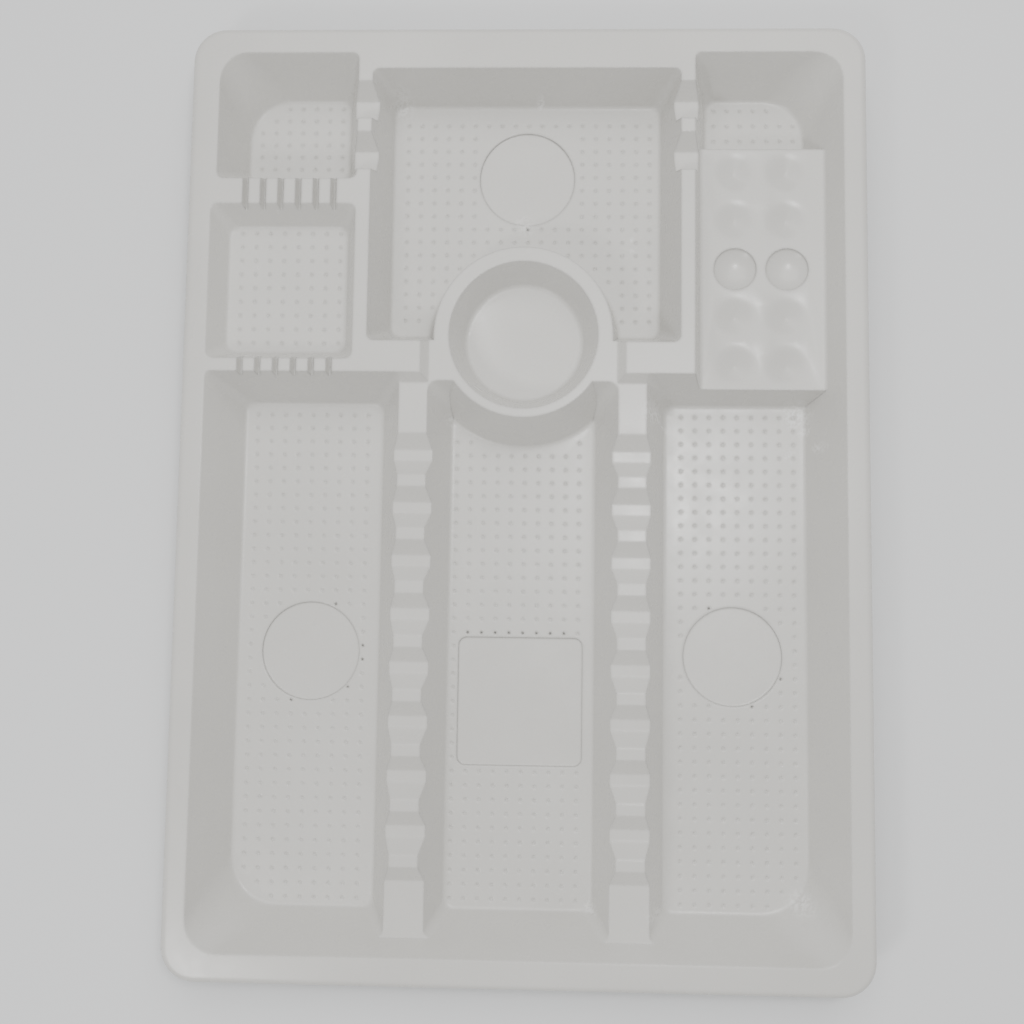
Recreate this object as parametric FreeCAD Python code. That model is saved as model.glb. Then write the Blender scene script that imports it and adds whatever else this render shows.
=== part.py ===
import FreeCAD, Part
import math
import os

# A compartment tray of thin plastic sheet, drawn in one piece over a mould. Millimetres, +Z up.
# The origin is the middle of the footprint, at the lowest face. +Y runs from the long instrument
# compartments towards the deep compartment behind the round cup.
#
# The open space over the sheet is built first, as a union of tapered pockets. Every pocket can be
# grown by the sheet's gauge, so the sheet is the space grown by one gauge less the space itself,
# and it has the same gauge on floors, walls and folds.

Vector = FreeCAD.Vector

# ---------------------------------------------------------------- the sheet and its levels
GAUGE = 0.5                 # thickness of the sheet
TRAY_WIDTH = 202.0
TRAY_LENGTH = 281.0
TRAY_HEIGHT = 18.0
CORNER_RADIUS = 10.0        # of the tray's outline
LIP_DROP = 3.0              # the rim's edge turns down by this
LIP_FOLD = 2.0              # outside radius of that turn
PAD_STEP = 0.5              # the plain pads stand lower than the dimpled floors by this
TIER_DROP = 3.0             # the cup's ring and the lower rails lie under the rim by this
SHELF_DROP = 8.0            # the shelf of wells and the square pocket lie under the rim by this
FLOOR_FOLD = 1.2            # inside radius where a wall meets a floor
OVERCUT = 4.0               # the open space reaches this far over the rim

PAD_Z = GAUGE
FLOOR_Z = PAD_Z + PAD_STEP
RIM_Z = TRAY_HEIGHT
TIER_Z = RIM_Z - TIER_DROP
SHELF_Z = RIM_Z - SHELF_DROP
SKY_Z = RIM_Z + OVERCUT

# ---------------------------------------------------------------- drafts, as run over rise
OUTER_DRAFT = 0.50          # long outer walls
FRONT_DRAFT = 0.58          # the wall at the instrument end
BACK_DRAFT = 0.46           # the wall behind the corner pockets
INNER_DRAFT = 0.28          # walls between pockets in the rear half
RAIL_DRAFT = 0.45           # the two notched rails
SHOULDER_DRAFT = 0.39       # the wall at the head of the long compartments
CUP_DRAFT = 0.38
BOSS_DRAFT = 0.15           # the ring's wall in the rear compartment
APRON_DRAFT = 0.49          # the ring's wall in the middle compartment
BAR_END_DRAFT = 0.75        # the short slopes from the cross bars down to the ring

# ---------------------------------------------------------------- places at the rim, from the middle
WALL_X = 94.0               # top edge of the long outer walls
TL_WALL_X = 92.5            # the rear left pocket stands in a little
FRONT_Y = -132.2            # top edge of the wall at the instrument end
BACK_Y = 132.6              # top edge of the corner pockets' rear wall
REAR_Y = 127.7              # top edge of the rear compartment's back wall
REAR_X = 46.2               # half width of the rear compartment at the rim
REAR_FRONT_Y = 44.6         # its front edge, at the cross bars
SIDE_X = 50.4               # inner edge of the side pockets
LONG_HEAD_Y = 35.2          # head of the long compartments, at the cross bars
TL_FRONT_Y = 93.7           # front edge of the rear left pocket
SQUARE_BACK_Y = 86.0        # the square pocket
SQUARE_FRONT_Y = 39.0
TR_FRONT_Y = 104.3          # front edge of the rear right pocket, carried up to the rim
RAIL_X = 32.4               # middle of each notched rail
RAIL_HALF = 4.2             # half width of a rail's crest at the tier
MIDDLE_HEAD_Y = 33.3        # head of the middle compartment's horns, at the tier
BAR_END_X = 28.0            # foot of the cross bars' end slopes, at the tier

CORNER_BIG = (15.0, 9.0)    # corner radii of a pocket: at the rim, at the floor
CORNER_REAR = (13.0, 8.0)
CORNER_SMALL = (3.2, 1.8)
CORNER_HORN = (4.5, 2.2)

# ---------------------------------------------------------------- the cup and its ring
CUP_Y = 47.3
CUP_RADIUS = 22.2           # at the ring
CUP_DEPTH = 11.3            # under the ring
CUP_FOLD = 1.5
RING_RADIUS = 26.6          # the ring's outer edge in the rear compartment
APRON_RADIUS = 24.8         # the ring's outer edge in the middle compartment

# ---------------------------------------------------------------- rails, notches, slots and wells
RAIL_FIRST_Y = 3.5          # first crest after the post
RAIL_PITCH = 15.65
RAIL_CRESTS = 8
RAIL_FLAT = 3.4             # length of a crest and of a valley
RAIL_NOTCH = 3.5            # depth of a valley
RAIL_ROUND = 1.6            # radius of the wave's bends
POST_FRONT_Y = 17.6         # front edge of the post beside the ring

REST_YS = (123.9, 108.2)    # where the two rests in each rear ridge begin
REST_LENGTH = 11.6
REST_SLOPE = 4.2            # length of a rest's slope
REST_DEPTH = 5.6
REST_RISE = 1.4             # its bed rises this much to the step
REST_STEP = 0.8             # run of the step back up to the rim

SLOT_COUNT = 6
SLOT_MID_X = -70.4
SLOT_PITCH = 5.3
SLOT_WIDTH = 1.9
SLOT_DEPTH = 2.4
SLOT_BED = 0.5              # width of a slot's bed

WELL_XS = (63.2, 78.7)
WELL_FIRST_Y = 98.4
WELL_PITCH = 14.8
WELL_ROWS = 5
BOWL_ROW = 2                # the middle row holds round bowls, the others cones
WELL_RADIUS = 6.5
WELL_DEPTH = 2.3
WELL_TIP = 0.8              # radius of a cone's tip
BOWL_STEP = 0.6             # a bowl starts with a short steep wall
BOWL_DEPTH = 2.0            # of its round part

PAD_RADIUS = 14.8           # the round pads
PAD_CENTRES = ((-63.5, -47.2), (63.5, -47.2), (0.3, 99.7))
PLATE_Y = -61.4             # the square pad in the middle compartment
PLATE_SIZE = (37.4, 38.2)
PLATE_CORNER = 2.6


def slant(draft):
    """Sideways growth of a wall of this draft for each unit of growth along its normal."""
    return math.hypot(1.0, draft)


def frustum(low, high, z0, z1):
    """A solid between two rectangles (x0, x1, y0, y1), at z0 and z1."""
    wedge = Part.makeWedge(low[0], z0, -low[3], -high[3], high[0],
                           low[1], z1, -low[2], -high[2], high[1])
    wedge.rotate(Vector(0, 0, 0), Vector(1, 0, 0), 90)
    return wedge


def edges_at(shape, z, tolerance=1e-4):
    """Edges that lie whole at height z."""
    return [e for e in shape.Edges
            if abs(e.BoundBox.ZMin - z) < tolerance and abs(e.BoundBox.ZMax - z) < tolerance]


def pocket(sides, drafts, floor, top, grow, corners=(None,) * 4, fold=FLOOR_FOLD):
    """The tapered space of one pocket.

    sides are x0, x1, y0, y1 at height top and drafts are those of the four walls. corners are
    the radii (at top, at floor) of the corners x0y0, x1y0, x1y1 and x0y1, or None for a sharp
    one. The space goes on upwards to SKY_Z along the same walls."""
    out = (-1, 1, -1, 1)
    base = floor - grow

    def rectangle(z):
        return [s + o * (grow * slant(d) + d * (z - top)) for s, d, o in zip(sides, drafts, out)]

    low, high = rectangle(base), rectangle(SKY_Z)
    block = frustum(low, high, base, SKY_Z)
    feet = [(low[0], low[2]), (low[1], low[2]), (low[1], low[3]), (low[0], low[3])]
    for (x, y), radii in zip(feet, corners):
        if radii is None:
            continue
        rim, foot = radii
        rate = (rim - foot) / (top - floor)
        at_base = foot - rate * grow + grow
        at_sky = rim + rate * (SKY_Z - top) + grow
        edge = next(e for e in block.Edges
                    if any(v.Point.distanceToPoint(Vector(x, y, base)) < 1e-6 for v in e.Vertexes)
                    and e.BoundBox.ZMax > SKY_Z - 1e-3)
        if edge.Vertexes[0].Z < edge.Vertexes[1].Z:
            first, last = at_base, at_sky
        else:
            first, last = at_sky, at_base
        block = block.makeFillet(first, last, [edge])
    if fold:
        block = block.makeFillet(fold + grow, edges_at(block, base))
    return block


def cone(x, y, z0, r0, z1, r1):
    return Part.makeCone(r0, r1, z1 - z0, Vector(x, y, z0))


def boss(radius, draft, grow):
    """The cup's ring as it stands in a pocket: radius at the tier, wider below."""
    low = -GAUGE
    r = radius - grow * slant(draft)
    height = TIER_Z - grow
    return cone(0, CUP_Y, low, r + draft * (TIER_Z - low), height, r + draft * grow)


# ---------------------------------------------------------------- the pockets

def rear_left(grow):
    sides = (-TL_WALL_X, -SIDE_X, TL_FRONT_Y, BACK_Y)
    drafts = (0.33, INNER_DRAFT, INNER_DRAFT, BACK_DRAFT)
    corners = (CORNER_SMALL, CORNER_SMALL, CORNER_SMALL, CORNER_REAR)
    return pocket(sides, drafts, FLOOR_Z, RIM_Z, grow, corners)


def rear_right(grow):
    sides = (SIDE_X, WALL_X, TR_FRONT_Y, BACK_Y)
    drafts = (INNER_DRAFT, OUTER_DRAFT, 0.2, BACK_DRAFT)
    corners = (None, None, CORNER_REAR, CORNER_SMALL)
    return pocket(sides, drafts, FLOOR_Z, RIM_Z, grow, corners)


def rear_middle(grow):
    sides = (-REAR_X, REAR_X, REAR_FRONT_Y, REAR_Y)
    drafts = (INNER_DRAFT,) * 4
    corners = (CORNER_SMALL,) * 4
    block = pocket(sides, drafts, FLOOR_Z, RIM_Z, grow, corners, fold=0)
    block = block.cut(boss(RING_RADIUS, BOSS_DRAFT, grow))
    return block.makeFillet(FLOOR_FOLD + grow, edges_at(block, FLOOR_Z - grow))


def square_pocket(grow):
    sides = (-WALL_X, -SIDE_X, SQUARE_FRONT_Y, SQUARE_BACK_Y)
    drafts = (OUTER_DRAFT, 0.42, 0.42, 0.6)
    return pocket(sides, drafts, SHELF_Z, RIM_Z, grow, (CORNER_SMALL,) * 4)


def well_shelf(grow):
    sides = (SIDE_X, WALL_X, LONG_HEAD_Y - 6.0, TR_FRONT_Y + 4.0)
    drafts = (INNER_DRAFT, OUTER_DRAFT, 0.0, 0.0)
    return pocket(sides, drafts, SHELF_Z, RIM_Z, grow)


def long_pocket(side, grow):
    outer, inner = WALL_X, RAIL_X + RAIL_HALF - RAIL_DRAFT * TIER_DROP
    if side < 0:
        sides = (-outer, -inner, FRONT_Y, LONG_HEAD_Y)
        drafts = (OUTER_DRAFT, RAIL_DRAFT, FRONT_DRAFT, SHOULDER_DRAFT)
        corners = (CORNER_BIG, CORNER_SMALL, CORNER_SMALL, CORNER_SMALL)
    else:
        sides = (inner, outer, FRONT_Y, LONG_HEAD_Y)
        drafts = (RAIL_DRAFT, OUTER_DRAFT, FRONT_DRAFT, SHOULDER_DRAFT)
        corners = (CORNER_SMALL, CORNER_BIG, None, CORNER_SMALL)
    return pocket(sides, drafts, FLOOR_Z, RIM_Z, grow, corners)


def middle_pocket(grow):
    half = RAIL_X - RAIL_HALF
    front = FRONT_Y + FRONT_DRAFT * TIER_DROP
    sides = (-half, half, front, MIDDLE_HEAD_Y)
    drafts = (RAIL_DRAFT, RAIL_DRAFT, FRONT_DRAFT, APRON_DRAFT)
    corners = (CORNER_SMALL, CORNER_SMALL, CORNER_HORN, CORNER_HORN)
    block = pocket(sides, drafts, FLOOR_Z, TIER_Z, grow, corners, fold=0)
    block = block.cut(boss(APRON_RADIUS, APRON_DRAFT, grow))
    return block.makeFillet(FLOOR_FOLD + grow, edges_at(block, FLOOR_Z - grow))


def prism_along_x(points, x0, x1, grow):
    """A bar along X with the outline points (y, z), grown by grow in its outline."""
    wire = Part.makePolygon([Vector(0, y, z) for y, z in points + points[:1]])
    face = Part.Face(wire)
    if grow:
        face = face.makeOffset2D(grow, 2)
    face.translate(Vector(x0, 0, 0))
    return face.extrude(Vector(x1 - x0, 0, 0))


def prism_along_y(points, y0, y1, grow):
    """A bar along Y with the outline points (x, z), grown by grow in its outline."""
    wire = Part.makePolygon([Vector(x, 0, z) for x, z in points + points[:1]])
    face = Part.Face(wire)
    if grow:
        face = face.makeOffset2D(grow, 2)
    face.translate(Vector(0, y0, 0))
    return face.extrude(Vector(0, y1 - y0, 0))


def collar(grow):
    """The level round the cup, between the ends of the cross bars."""
    half = BAR_END_X + BAR_END_DRAFT * TIER_DROP
    sides = (-half, half, APRON_RADIUS * -0.6 + CUP_Y - 8.0, CUP_Y)
    drafts = (BAR_END_DRAFT, BAR_END_DRAFT, 0.0, 0.0)
    return pocket(sides, drafts, TIER_Z, RIM_Z, grow, fold=0)


def cup(grow):
    floor = TIER_Z - CUP_DEPTH - grow
    r0 = CUP_RADIUS - CUP_DRAFT * CUP_DEPTH + grow * (slant(CUP_DRAFT) - CUP_DRAFT)
    r1 = r0 + CUP_DRAFT * (SKY_Z - floor)
    bowl = cone(0, CUP_Y, floor, r0, SKY_Z, r1)
    return bowl.makeFillet(CUP_FOLD + grow, edges_at(bowl, floor))


def rail_wave():
    """Outline (y, z) of the space over a rail, from the instrument end to the cross bar."""
    run = (RAIL_PITCH - 2 * RAIL_FLAT) / 2
    crest, valley = TIER_Z, TIER_Z - RAIL_NOTCH
    half = RAIL_FLAT / 2
    slope_y = LONG_HEAD_Y - 2.4
    points = [(LONG_HEAD_Y + 1.5, SKY_Z), (LONG_HEAD_Y, RIM_Z), (slope_y, crest), (POST_FRONT_Y, crest)]
    y = RAIL_FIRST_Y
    for _ in range(RAIL_CRESTS):
        mid = y + RAIL_PITCH / 2
        points.append((min(mid + half, POST_FRONT_Y - run), valley))
        points.append((mid - half, valley))
        points.append((y + half, crest))
        points.append((y - half, crest))
        y -= RAIL_PITCH
    foot = y + RAIL_PITCH - half - run
    points.append((foot, valley))
    points.append((FRONT_Y + FRONT_DRAFT * (RIM_Z - valley), valley))
    points.append((FRONT_Y - FRONT_DRAFT * OVERCUT, SKY_Z))
    return points


def over_rail(side, grow):
    x = side * RAIL_X
    half = RAIL_HALF + 3.6
    return prism_along_x(rail_wave(), x - half, x + half, grow)


def rests(side, grow):
    """The two rests that cross each rear ridge: a slope, a bed that rises a little, a step."""
    x = side * (REAR_X + SIDE_X) / 2
    half = (SIDE_X - REAR_X) / 2 + 2.4
    cuts = []
    for y in REST_YS:
        bed = RIM_Z - REST_DEPTH
        end = y - REST_LENGTH
        points = [(y + OVERCUT * REST_SLOPE / REST_DEPTH, SKY_Z), (y - REST_SLOPE, bed),
                  (y - REST_SLOPE - 2.2, bed), (end + REST_STEP, bed + REST_RISE), (end, RIM_Z),
                  (end - 0.6, SKY_Z)]
        cuts.append(prism_along_x(points, x - half, x + half, grow))
    return cuts


def slots(grow):
    """Two rows of narrow slots, across the bars behind and in front of the square pocket."""
    cuts = []
    top = SLOT_WIDTH / 2
    bed = SLOT_BED / 2
    flare = (top - bed) / SLOT_DEPTH
    sky = top + flare * OVERCUT
    rows = ((SQUARE_BACK_Y - 2.5, TL_FRONT_Y + 2.0), (LONG_HEAD_Y - 2.0, SQUARE_FRONT_Y + 2.0))
    for y0, y1 in rows:
        for i in range(SLOT_COUNT):
            x = SLOT_MID_X + (i - (SLOT_COUNT - 1) / 2) * SLOT_PITCH
            z = RIM_Z - SLOT_DEPTH
            points = [(x - bed, z), (x + bed, z), (x + sky, SKY_Z), (x - sky, SKY_Z)]
            cuts.append(prism_along_y(points, y0, y1, grow))
    return cuts


def cone_well(x, y, grow):
    """A cone with a round tip, as a turned profile."""
    slope = math.atan2(WELL_DEPTH, WELL_RADIUS)
    tip = WELL_TIP + grow
    apex = SHELF_Z - WELL_DEPTH - grow / math.cos(slope)
    centre_z = apex + tip / math.cos(slope)
    touch = Vector(tip * math.sin(slope), 0, centre_z - tip * math.cos(slope))
    bottom = Vector(0, 0, centre_z - tip)
    middle = Vector(tip * math.sin(slope / 2), 0, centre_z - tip * math.cos(slope / 2))
    sky = SHELF_Z + 1.0
    outer = Vector((sky - apex) / math.tan(slope), 0, sky)
    edges = [Part.Arc(bottom, middle, touch).toShape(),
             Part.makeLine(touch, outer),
             Part.makeLine(outer, Vector(0, 0, sky)),
             Part.makeLine(Vector(0, 0, sky), bottom)]
    turned = Part.Face(Part.Wire(edges)).revolve(Vector(0, 0, 0), Vector(0, 0, 1), 360)
    turned.translate(Vector(x, y, 0))
    return turned


def bowl_well(x, y, grow):
    """A short steep wall over a round dish."""
    radius = WELL_RADIUS - 0.3
    sphere_r = (radius ** 2 + BOWL_DEPTH ** 2) / (2 * BOWL_DEPTH)
    edge_z = SHELF_Z - BOWL_STEP
    centre = Vector(x, y, edge_z - BOWL_DEPTH + sphere_r)
    ball = Part.makeSphere(sphere_r + grow, centre)
    wall = cone(x, y, edge_z - BOWL_DEPTH - 1.5, radius + grow, SHELF_Z + 1.0, radius + grow + 0.2)
    return ball.common(wall)


def wells(grow):
    cuts = []
    for row in range(WELL_ROWS):
        make = bowl_well if row == BOWL_ROW else cone_well
        for x in WELL_XS:
            cuts.append(make(x, WELL_FIRST_Y - row * WELL_PITCH, grow))
    return cuts


def pads(grow):
    """The plain pads, a step lower than the dimpled floors."""
    z = PAD_Z - grow
    height = PAD_STEP + 2.0
    cuts = [Part.makeCylinder(PAD_RADIUS + grow, height, Vector(x, y, z)) for x, y in PAD_CENTRES]
    half_x, half_y = (s / 2 + grow for s in PLATE_SIZE)
    plate = Part.makeBox(2 * half_x, 2 * half_y, height, Vector(-half_x, PLATE_Y - half_y, z))
    upright = [e for e in plate.Edges if e.BoundBox.ZLength > height / 2]
    cuts.append(plate.makeFillet(PLATE_CORNER + grow, upright))
    return cuts


def open_space(grow):
    """All the space over the sheet, grown by grow."""
    parts = [rear_right(grow), rear_middle(grow), square_pocket(grow), well_shelf(grow),
             long_pocket(-1, grow), long_pocket(1, grow), middle_pocket(grow), collar(grow),
             cup(grow), over_rail(-1, grow), over_rail(1, grow)]
    parts += rests(-1, grow) + rests(1, grow) + slots(grow) + wells(grow) + pads(grow)
    return rear_left(grow).multiFuse(parts)


def outline_block(inset, z0, z1, edge_fold):
    """The tray's outline as a block, with its top edge rounded."""
    half_x, half_y = TRAY_WIDTH / 2 - inset, TRAY_LENGTH / 2 - inset
    block = Part.makeBox(2 * half_x, 2 * half_y, z1 - z0, Vector(-half_x, -half_y, z0))
    upright = [e for e in block.Edges if e.BoundBox.ZLength > (z1 - z0) / 2]
    block = block.makeFillet(CORNER_RADIUS - inset, upright)
    return block.makeFillet(edge_fold, edges_at(block, z1))


def rim():
    """The flat rim and its turned-down lip."""
    outside = outline_block(0, RIM_Z - LIP_DROP, RIM_Z, LIP_FOLD)
    inside = outline_block(GAUGE, RIM_Z - LIP_DROP - 1.0, RIM_Z - GAUGE, LIP_FOLD - GAUGE)
    return outside.cut(inside)


def below_rim():
    """Keeps the grown space under the rim's top face."""
    half_x, half_y = TRAY_WIDTH / 2 - GAUGE, TRAY_LENGTH / 2 - GAUGE
    return Part.makeBox(2 * half_x, 2 * half_y, RIM_Z + 1.0, Vector(-half_x, -half_y, -1.0))


def tray():
    skin = open_space(GAUGE).common(below_rim())
    sheet = rim().fuse(skin).cut(open_space(0))
    top = Part.makeBox(TRAY_WIDTH * 2, TRAY_LENGTH * 2, OVERCUT * 2,
                       Vector(-TRAY_WIDTH, -TRAY_LENGTH, RIM_Z))
    return sheet.cut(top).removeSplitter()


if __name__ == "__main__":
    os.makedirs("parts", exist_ok=True)
    shape = tray()
    solids = shape.Solids
    print("solids", len(solids), "valid", shape.isValid(), "volume", round(shape.Volume, 1))
    print("faces", len(shape.Faces), "box", shape.BoundBox)
    shape.exportStep("parts/tray.step")
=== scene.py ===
from collections import namedtuple
from functools import reduce
from math import cos, pi, sin

import bmesh
import bpy
from mathutils import Matrix, Vector
from mathutils.bvhtree import BVHTree
from mathutils.geometry import delaunay_2d_cdt


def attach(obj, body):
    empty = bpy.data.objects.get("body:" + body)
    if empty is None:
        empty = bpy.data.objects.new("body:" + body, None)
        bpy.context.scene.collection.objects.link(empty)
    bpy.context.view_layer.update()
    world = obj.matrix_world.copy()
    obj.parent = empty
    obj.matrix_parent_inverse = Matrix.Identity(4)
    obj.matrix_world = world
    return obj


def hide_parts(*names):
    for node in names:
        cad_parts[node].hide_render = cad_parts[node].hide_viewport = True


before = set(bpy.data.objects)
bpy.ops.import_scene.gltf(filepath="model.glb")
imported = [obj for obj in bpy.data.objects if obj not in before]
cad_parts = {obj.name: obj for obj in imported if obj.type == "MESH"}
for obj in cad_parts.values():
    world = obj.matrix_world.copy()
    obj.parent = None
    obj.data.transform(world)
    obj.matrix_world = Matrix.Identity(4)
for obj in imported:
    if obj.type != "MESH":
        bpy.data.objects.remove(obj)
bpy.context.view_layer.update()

MM = 0.001             # metres in a millimetre

# Levels of the sheet, mm.
GAUGE = 0.5            # thickness of the sheet
FLOOR = 1.0            # top of the compartment floors
SQUARE_FLOOR = 10.0    # top of the raised square pocket's floor

# The pimpled floors, mm.
Field = namedtuple("Field", "columns rows first_x last_x first_y last_y floor")
FIELDS = (
    Field(10, 36, -81.9, -43.5, 25.0, -120.0, FLOOR),
    Field(10, 36, 43.8, 82.1, 25.2, -119.9, FLOOR),
    Field(11, 35, -20.1, 21.4, 21.0, -119.5, FLOOR),
    Field(19, 18, -37.1, 38.3, 121.2, 50.5, FLOOR),
    Field(7, 6, -83.4, -58.0, 122.5, 102.8, FLOOR),
    Field(7, 3, 58.0, 82.6, 121.8, 112.0, FLOOR),
    Field(8, 9, -86.2, -56.1, 79.2, 45.3, SQUARE_FLOOR),
)
# Places on those floors with no pits, mm: the blank plate and the rear disc.
Bare = namedtuple("Bare", "x y half_width half_length")
BARE = (Bare(0.2, -61.4, 19.2, 20.0), Bare(0.4, 99.7, 13.5, 13.5))

# One pit, mm.
PIT_RADIUS = 0.72
PIT_DEPTH = 0.42
PIT_SIDES = 8
PIT_MARGIN = 1.25      # clear flat round a pit, as a share of its radius
BOWL_RADIUS = 0.55     # the ring half-way down, as a share of the radius
BOWL_DEPTH = 0.7       # and of the depth

# Reading the solid's mesh.
LEVEL_ERROR = 0.004    # mm
LEVEL_NORMAL = 0.99    # least upright share of a flat face's normal
WELD = 1e-6            # metres
ABOVE = 100.0          # mm, where rays that look for a flat start
TRIANGLES = 0          # the triangulation's output: all triangles
CROSSING = 1e-7        # mm, what it takes for the same point
SHARP_ANGLE = 0.6      # radians, past which an edge is shaded sharp

# The camera, metres.
CAMERA_PLACE = (0.0086, -0.0339, 0.3497)
CAMERA_RIGHT = (0.99938, 0.01389, -0.03230)
CAMERA_UP = (-0.01111, 0.99634, 0.08478)
SENSOR_WIDTH = 36.0
LENS = 40.43
CLIP_START = 0.01

# The studio, metres and watts.
GROUND_SIZE = 4.0
GROUND_Z = -0.0005
GROUND_COLOUR = (0.80, 0.81, 0.82, 1)
GROUND_ROUGHNESS = 0.8
SKY_COLOUR = (1.0, 0.99, 0.97, 1)
SKY_STRENGTH = 0.62
Lamp = namedtuple("Lamp", "name place size energy")
LAMPS = (
    Lamp("overhead", (0.05, 0.45, 0.9), 0.9, 5.6),
    Lamp("near_camera", (0.10, 0.06, 0.55), 0.08, 0.8),
    Lamp("front_left", (-0.28, -0.34, 0.5), 0.12, 0.9),
)

# The plastic. A noise is its scale per metre and its detail.
DARK_CLOUD = (0.605, 0.596, 0.568, 1)
PALE_CLOUD = (0.645, 0.637, 0.610, 1)
STRESS_WHITE = (0.93, 0.93, 0.92, 1)
CLOUD_NOISE = (22.0, 4.0)
GLOSS_NOISE = (160.0, 5.0)
STREAK_NOISE = (900.0, 3.0)
GRAIN_NOISE = (1400.0, 4.0)
NOISE_SPAN = (0.3, 0.7)
STREAK_SPAN = (0.42, 0.62)
ROUGHNESS = (0.22, 0.32)
STRESS_ROUGHNESS = 0.25
BEND_RADIUS = 1.1      # mm
BEND_SAMPLES = 6
GRAIN_STRENGTH = 0.12
GRAIN_DEPTH = 0.05     # mm

# Stress-white marks and scuffs, mm: where the sheet was bent or scratched.
Mark = namedtuple("Mark", "x y radius strength")
MARKS = (
    Mark(38.1, 25.0, 4.0, 0.9),
    Mark(40.5, 23.2, 1.3, 0.7),
    Mark(42.2, 22.0, 1.3, 0.7),
    Mark(43.8, 20.8, 1.2, 0.6),
    Mark(82.8, 25.4, 5.0, 0.9),
    Mark(85.0, 21.0, 2.2, 0.6),
    Mark(88.5, 15.5, 2.2, 0.6),
    Mark(81.0, 13.4, 2.5, 0.5),
    Mark(83.0, -118.3, 4.5, 0.7),
    Mark(39.9, -121.5, 3.0, 0.6),
    Mark(-38.6, 122.3, 4.0, 0.6),
    Mark(4.2, 123.3, 1.5, 0.8),
    Mark(-0.3, 84.8, 4.0, 0.6),
    Mark(21.6, -121.4, 2.5, 0.7),
    Mark(-22.0, 23.3, 2.5, 0.6),
    Mark(32.9, 80.5, 1.1, 0.6),
    Mark(32.9, 77.0, 1.1, 0.6),
    Mark(-74.3, 84.2, 0.6, 0.9),
    Mark(-80.9, 68.6, 0.6, 0.9),
)


def camera():
    """The photograph's viewpoint, over the tray and a little to the front."""
    right = Vector(CAMERA_RIGHT)
    up = Vector(CAMERA_UP)
    data = bpy.data.cameras.new("camera")
    data.sensor_width = SENSOR_WIDTH
    data.lens = LENS
    data.clip_start = CLIP_START
    view = bpy.data.objects.new("camera", data)
    turn = Matrix((right, up, right.cross(up))).transposed()
    view.matrix_world = Matrix.Translation(CAMERA_PLACE) @ turn.to_4x4()
    bpy.context.scene.collection.objects.link(view)
    bpy.context.scene.camera = view


def ground():
    """A plain pale floor under the tray."""
    bpy.ops.mesh.primitive_plane_add(size=GROUND_SIZE, location=(0, 0, GROUND_Z))
    plane = bpy.context.object
    plane.name = "floor"
    mat = bpy.data.materials.new("floor_paper")
    mat.use_nodes = True
    shader = mat.node_tree.nodes["Principled BSDF"]
    shader.inputs["Base Color"].default_value = GROUND_COLOUR
    shader.inputs["Roughness"].default_value = GROUND_ROUGHNESS
    plane.data.materials.append(mat)


def area_light(lamp):
    """A square soft light that faces the middle of the tray."""
    data = bpy.data.lights.new(lamp.name, "AREA")
    data.size = lamp.size
    data.energy = lamp.energy
    light = bpy.data.objects.new(lamp.name, data)
    light.location = lamp.place
    light.rotation_euler = (-Vector(lamp.place)).to_track_quat("-Z", "Y").to_euler()
    bpy.context.scene.collection.objects.link(light)


def lights():
    """An even pale sky and the soft lamps."""
    world = bpy.data.worlds.new("world")
    bpy.context.scene.world = world
    world.use_nodes = True
    sky = world.node_tree.nodes["Background"]
    sky.inputs["Color"].default_value = SKY_COLOUR
    sky.inputs["Strength"].default_value = SKY_STRENGTH
    for lamp in LAMPS:
        area_light(lamp)


def is_bare(x, y):
    return any(abs(x - b.x) < b.half_width and abs(y - b.y) < b.half_length for b in BARE)


def ring(x, y, radius):
    """The corners of a pit's ring, round x, y."""
    turns = [2 * pi * (i + 0.5) / PIT_SIDES for i in range(PIT_SIDES)]
    return [(x + radius * cos(a), y + radius * sin(a)) for a in turns]


def is_over(flat, x, y):
    """Whether x, y lies on the flat."""
    return flat.ray_cast(Vector((x, y, ABOVE)), Vector((0, 0, -1)))[0] is not None


def pit_grid(field):
    """The middles of a field's pits, column by column."""
    for i in range(field.columns):
        for j in range(field.rows):
            x = field.first_x + (field.last_x - field.first_x) * i / (field.columns - 1)
            y = field.first_y + (field.last_y - field.first_y) * j / (field.rows - 1)
            yield x, y


def pit_places(floor, flat):
    """The middles of the pits whose whole rim lies on the flat floor."""
    places = []
    for field in FIELDS:
        if field.floor != floor:
            continue
        for x, y in pit_grid(field):
            rim = ring(x, y, PIT_RADIUS * PIT_MARGIN)
            if not is_bare(x, y) and all(is_over(flat, *p) for p in rim):
                places.append((x, y))
    return places


def pit_points(places):
    """Each pit's rim, half-way ring and middle: x, y and the share of its depth."""
    points = []
    for x, y in places:
        points += [(px, py, 0.0) for px, py in ring(x, y, PIT_RADIUS)]
        points += [(px, py, BOWL_DEPTH) for px, py in ring(x, y, PIT_RADIUS * BOWL_RADIUS)]
        points.append((x, y, 1.0))
    return points


def flat_faces(bm, level, side):
    """The faces that lie flat at a level and look to a side."""
    found = []
    for face in bm.faces:
        near = all(abs(v.co.z / MM - level) < LEVEL_ERROR for v in face.verts)
        if near and face.normal.z * side > LEVEL_NORMAL:
            found.append(face)
    return found


def flat_tree(faces):
    """The faces laid at height 0, in mm, for looking up what lies over them."""
    corners = []
    polygons = []
    for face in faces:
        polygons.append(tuple(range(len(corners), len(corners) + len(face.verts))))
        corners += [(v.co.x / MM, v.co.y / MM, 0.0) for v in face.verts]
    return BVHTree.FromPolygons(corners, polygons)


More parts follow.
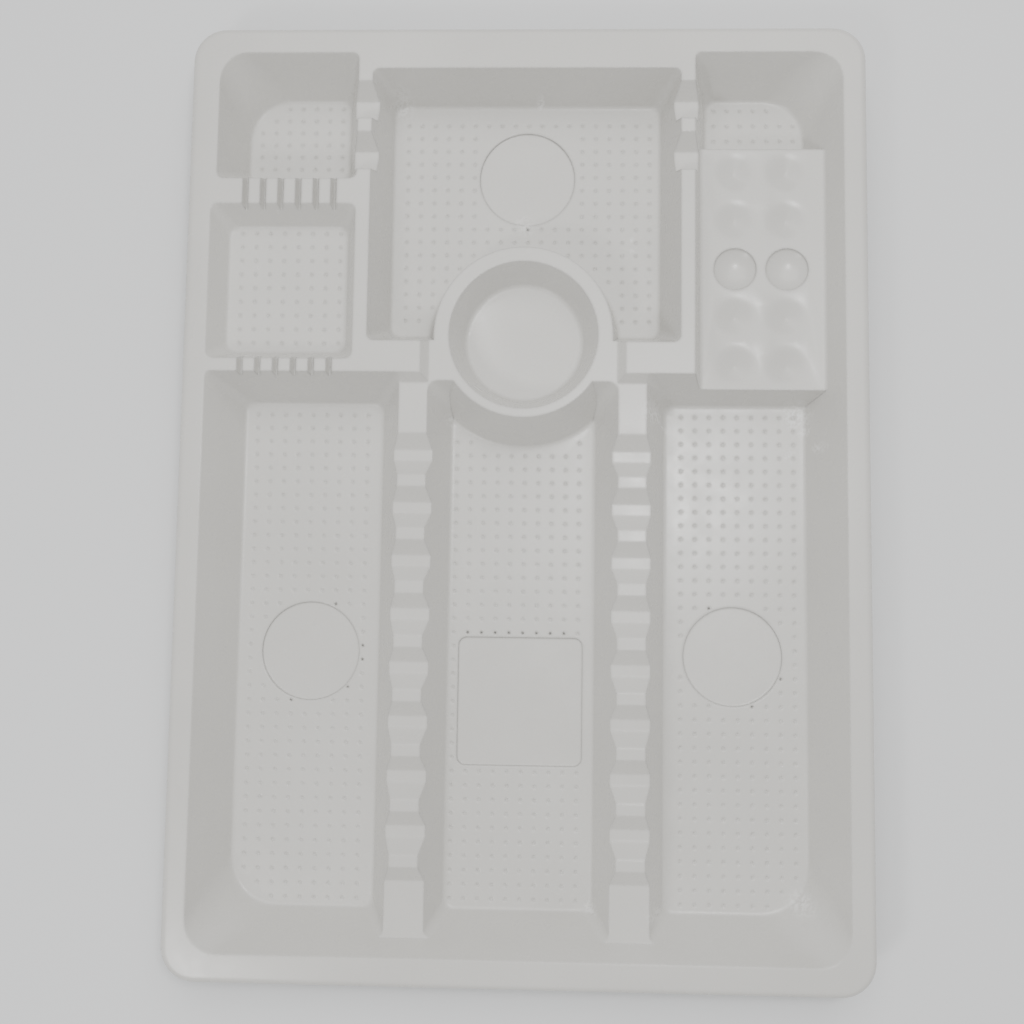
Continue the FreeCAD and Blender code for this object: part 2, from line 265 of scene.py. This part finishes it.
def pimple(bm, level, floor, side):
    """Mesh one flat level of the sheet again, with its pits; side is 1 above, -1 below."""
    old = flat_faces(bm, level, side)
    chosen = set(old)
    flat = flat_tree(old)
    rims = [e for e in bm.edges if sum(f in chosen for f in e.link_faces) == 1]
    verts = list(dict.fromkeys(v for e in rims for v in e.verts))
    index = {v: i for i, v in enumerate(verts)}
    pits = pit_points(pit_places(floor, flat))
    points = [Vector((v.co.x / MM, v.co.y / MM)) for v in verts]
    points += [Vector((x, y)) for x, y, _ in pits]
    edges = [(index[e.verts[0]], index[e.verts[1]]) for e in rims]
    mesh = delaunay_2d_cdt(points, edges, [], TRIANGLES, CROSSING)
    bmesh.ops.delete(bm, geom=old, context="FACES_ONLY")
    for x, y, depth in pits:
        verts.append(bm.verts.new((x * MM, y * MM, (level - PIT_DEPTH * depth) * MM)))
    add_triangles(bm, verts, mesh, flat, side)


def add_triangles(bm, verts, mesh, flat, side):
    """Add the triangulation's faces that lie over the flat."""
    places, _, faces, source, _, _ = mesh
    for face in faces:
        middle = sum((places[i] for i in face), Vector((0, 0))) / len(face)
        names = [source[i][0] for i in face if source[i]]
        if len(set(names)) == 3 and is_over(flat, *middle):
            order = names if side > 0 else names[::-1]
            bm.faces.new([verts[i] for i in order])


def clear_loose(bm):
    """Delete the edges and corners that no face uses."""
    edges = [e for e in bm.edges if not e.link_faces]
    bmesh.ops.delete(bm, geom=edges, context="EDGES")
    verts = [v for v in bm.verts if not v.link_edges]
    bmesh.ops.delete(bm, geom=verts, context="VERTS")


def shade_smooth(bm):
    """Smooth shading, but for the sheet's sharp edges."""
    bm.normal_update()
    for face in bm.faces:
        face.smooth = True
    for edge in bm.edges:
        edge.smooth = len(edge.link_faces) == 2 and edge.calc_face_angle() < SHARP_ANGLE


def sheet():
    """The tray's sheet, from its CAD solid, with the pits pressed into its floors."""
    bm = bmesh.new()
    bm.from_mesh(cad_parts["tray"].data)
    bmesh.ops.remove_doubles(bm, verts=bm.verts, dist=WELD)
    bmesh.ops.triangulate(bm, faces=bm.faces)
    bm.normal_update()
    for floor in (FLOOR, SQUARE_FLOOR):
        pimple(bm, floor, floor, 1)
        pimple(bm, floor - GAUGE, floor, -1)
    clear_loose(bm)
    shade_smooth(bm)
    mesh = bpy.data.meshes.new("tray_sheet")
    bm.to_mesh(mesh)
    bm.free()
    piece = bpy.data.objects.new("tray_sheet", mesh)
    bpy.context.scene.collection.objects.link(piece)
    return piece


class Nodes:
    """Short ways to add and join shader nodes."""

    def __init__(self, mat):
        self.tree = mat.node_tree

    def add(self, kind, **values):
        node = self.tree.nodes.new("ShaderNode" + kind)
        for key, value in values.items():
            setattr(node, key, value)
        return node

    def set(self, socket, value):
        """Give a socket a number or colour, or link another node's output to it."""
        if isinstance(value, bpy.types.NodeSocket):
            self.tree.links.new(value, socket)
        else:
            socket.default_value = value

    def noise(self, place, scale, detail):
        node = self.add("TexNoise")
        self.set(node.inputs["Scale"], scale)
        self.set(node.inputs["Detail"], detail)
        self.set(node.inputs["Vector"], place)
        return node.outputs["Fac"]

    def span(self, value, low, high, to_low, to_high):
        node = self.add("MapRange")
        self.set(node.inputs["Value"], value)
        self.set(node.inputs["From Min"], low)
        self.set(node.inputs["From Max"], high)
        self.set(node.inputs["To Min"], to_low)
        self.set(node.inputs["To Max"], to_high)
        return node.outputs["Result"]

    def maths(self, kind, first, second):
        node = self.add("Math", operation=kind)
        self.set(node.inputs[0], first)
        self.set(node.inputs[1], second)
        return node.outputs[0]

    def vector(self, kind, first, second):
        node = self.add("VectorMath", operation=kind)
        self.set(node.inputs[0], first)
        self.set(node.inputs[1], second)
        return node.outputs

    def mix(self, factor, first, second):
        node = self.add("Mix", data_type="RGBA", clamp_factor=True)
        names = {"Factor_Float": factor, "A_Color": first, "B_Color": second}
        for socket in node.inputs:
            if socket.identifier in names:
                self.set(socket, names[socket.identifier])
        return next(out for out in node.outputs if out.identifier == "Result_Color")


def stress(nodes, place):
    """How white the sheet is where it was bent: 0 to 1."""
    flat = nodes.vector("MULTIPLY", place, (1, 1, 0))[0]

    def glow(mark):
        gap = nodes.vector("DISTANCE", flat, (mark.x * MM, mark.y * MM, 0))["Value"]
        return nodes.span(gap, 0.0, mark.radius * MM, mark.strength, 0.0)

    total = reduce(lambda a, b: nodes.maths("MAXIMUM", a, b), [glow(m) for m in MARKS])
    streaks = nodes.span(nodes.noise(place, *STREAK_NOISE), *STREAK_SPAN, 0.0, 1.0)
    return nodes.maths("MULTIPLY", total, streaks)


def surface_normal(nodes, place):
    """Softened bends with a fine grain on them."""
    bend = nodes.add("Bevel", samples=BEND_SAMPLES)
    nodes.set(bend.inputs["Radius"], BEND_RADIUS * MM)
    grain = nodes.add("Bump")
    nodes.set(grain.inputs["Strength"], GRAIN_STRENGTH)
    nodes.set(grain.inputs["Distance"], GRAIN_DEPTH * MM)
    nodes.set(grain.inputs["Height"], nodes.noise(place, *GRAIN_NOISE))
    nodes.set(grain.inputs["Normal"], bend.outputs["Normal"])
    return grain.outputs["Normal"]


def plastic():
    """White thermoformed sheet: faint clouding, soft gloss, stress-white marks."""
    mat = bpy.data.materials.new("white_plastic")
    mat.use_nodes = True
    nodes = Nodes(mat)
    place = nodes.add("TexCoord").outputs["Object"]
    white = stress(nodes, place)
    cloud = nodes.span(nodes.noise(place, *CLOUD_NOISE), *NOISE_SPAN, 0.0, 1.0)
    gloss = nodes.span(nodes.noise(place, *GLOSS_NOISE), *NOISE_SPAN, *ROUGHNESS)
    colour = nodes.mix(white, nodes.mix(cloud, DARK_CLOUD, PALE_CLOUD), STRESS_WHITE)
    rough = nodes.maths("ADD", gloss, nodes.maths("MULTIPLY", white, STRESS_ROUGHNESS))
    shader = mat.node_tree.nodes["Principled BSDF"]
    nodes.set(shader.inputs["Base Color"], colour)
    nodes.set(shader.inputs["Roughness"], rough)
    nodes.set(shader.inputs["Normal"], surface_normal(nodes, place))
    return mat


camera()
ground()
lights()
tray_sheet = sheet()
tray_sheet.data.materials.append(plastic())
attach(tray_sheet, "root")
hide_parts("tray")
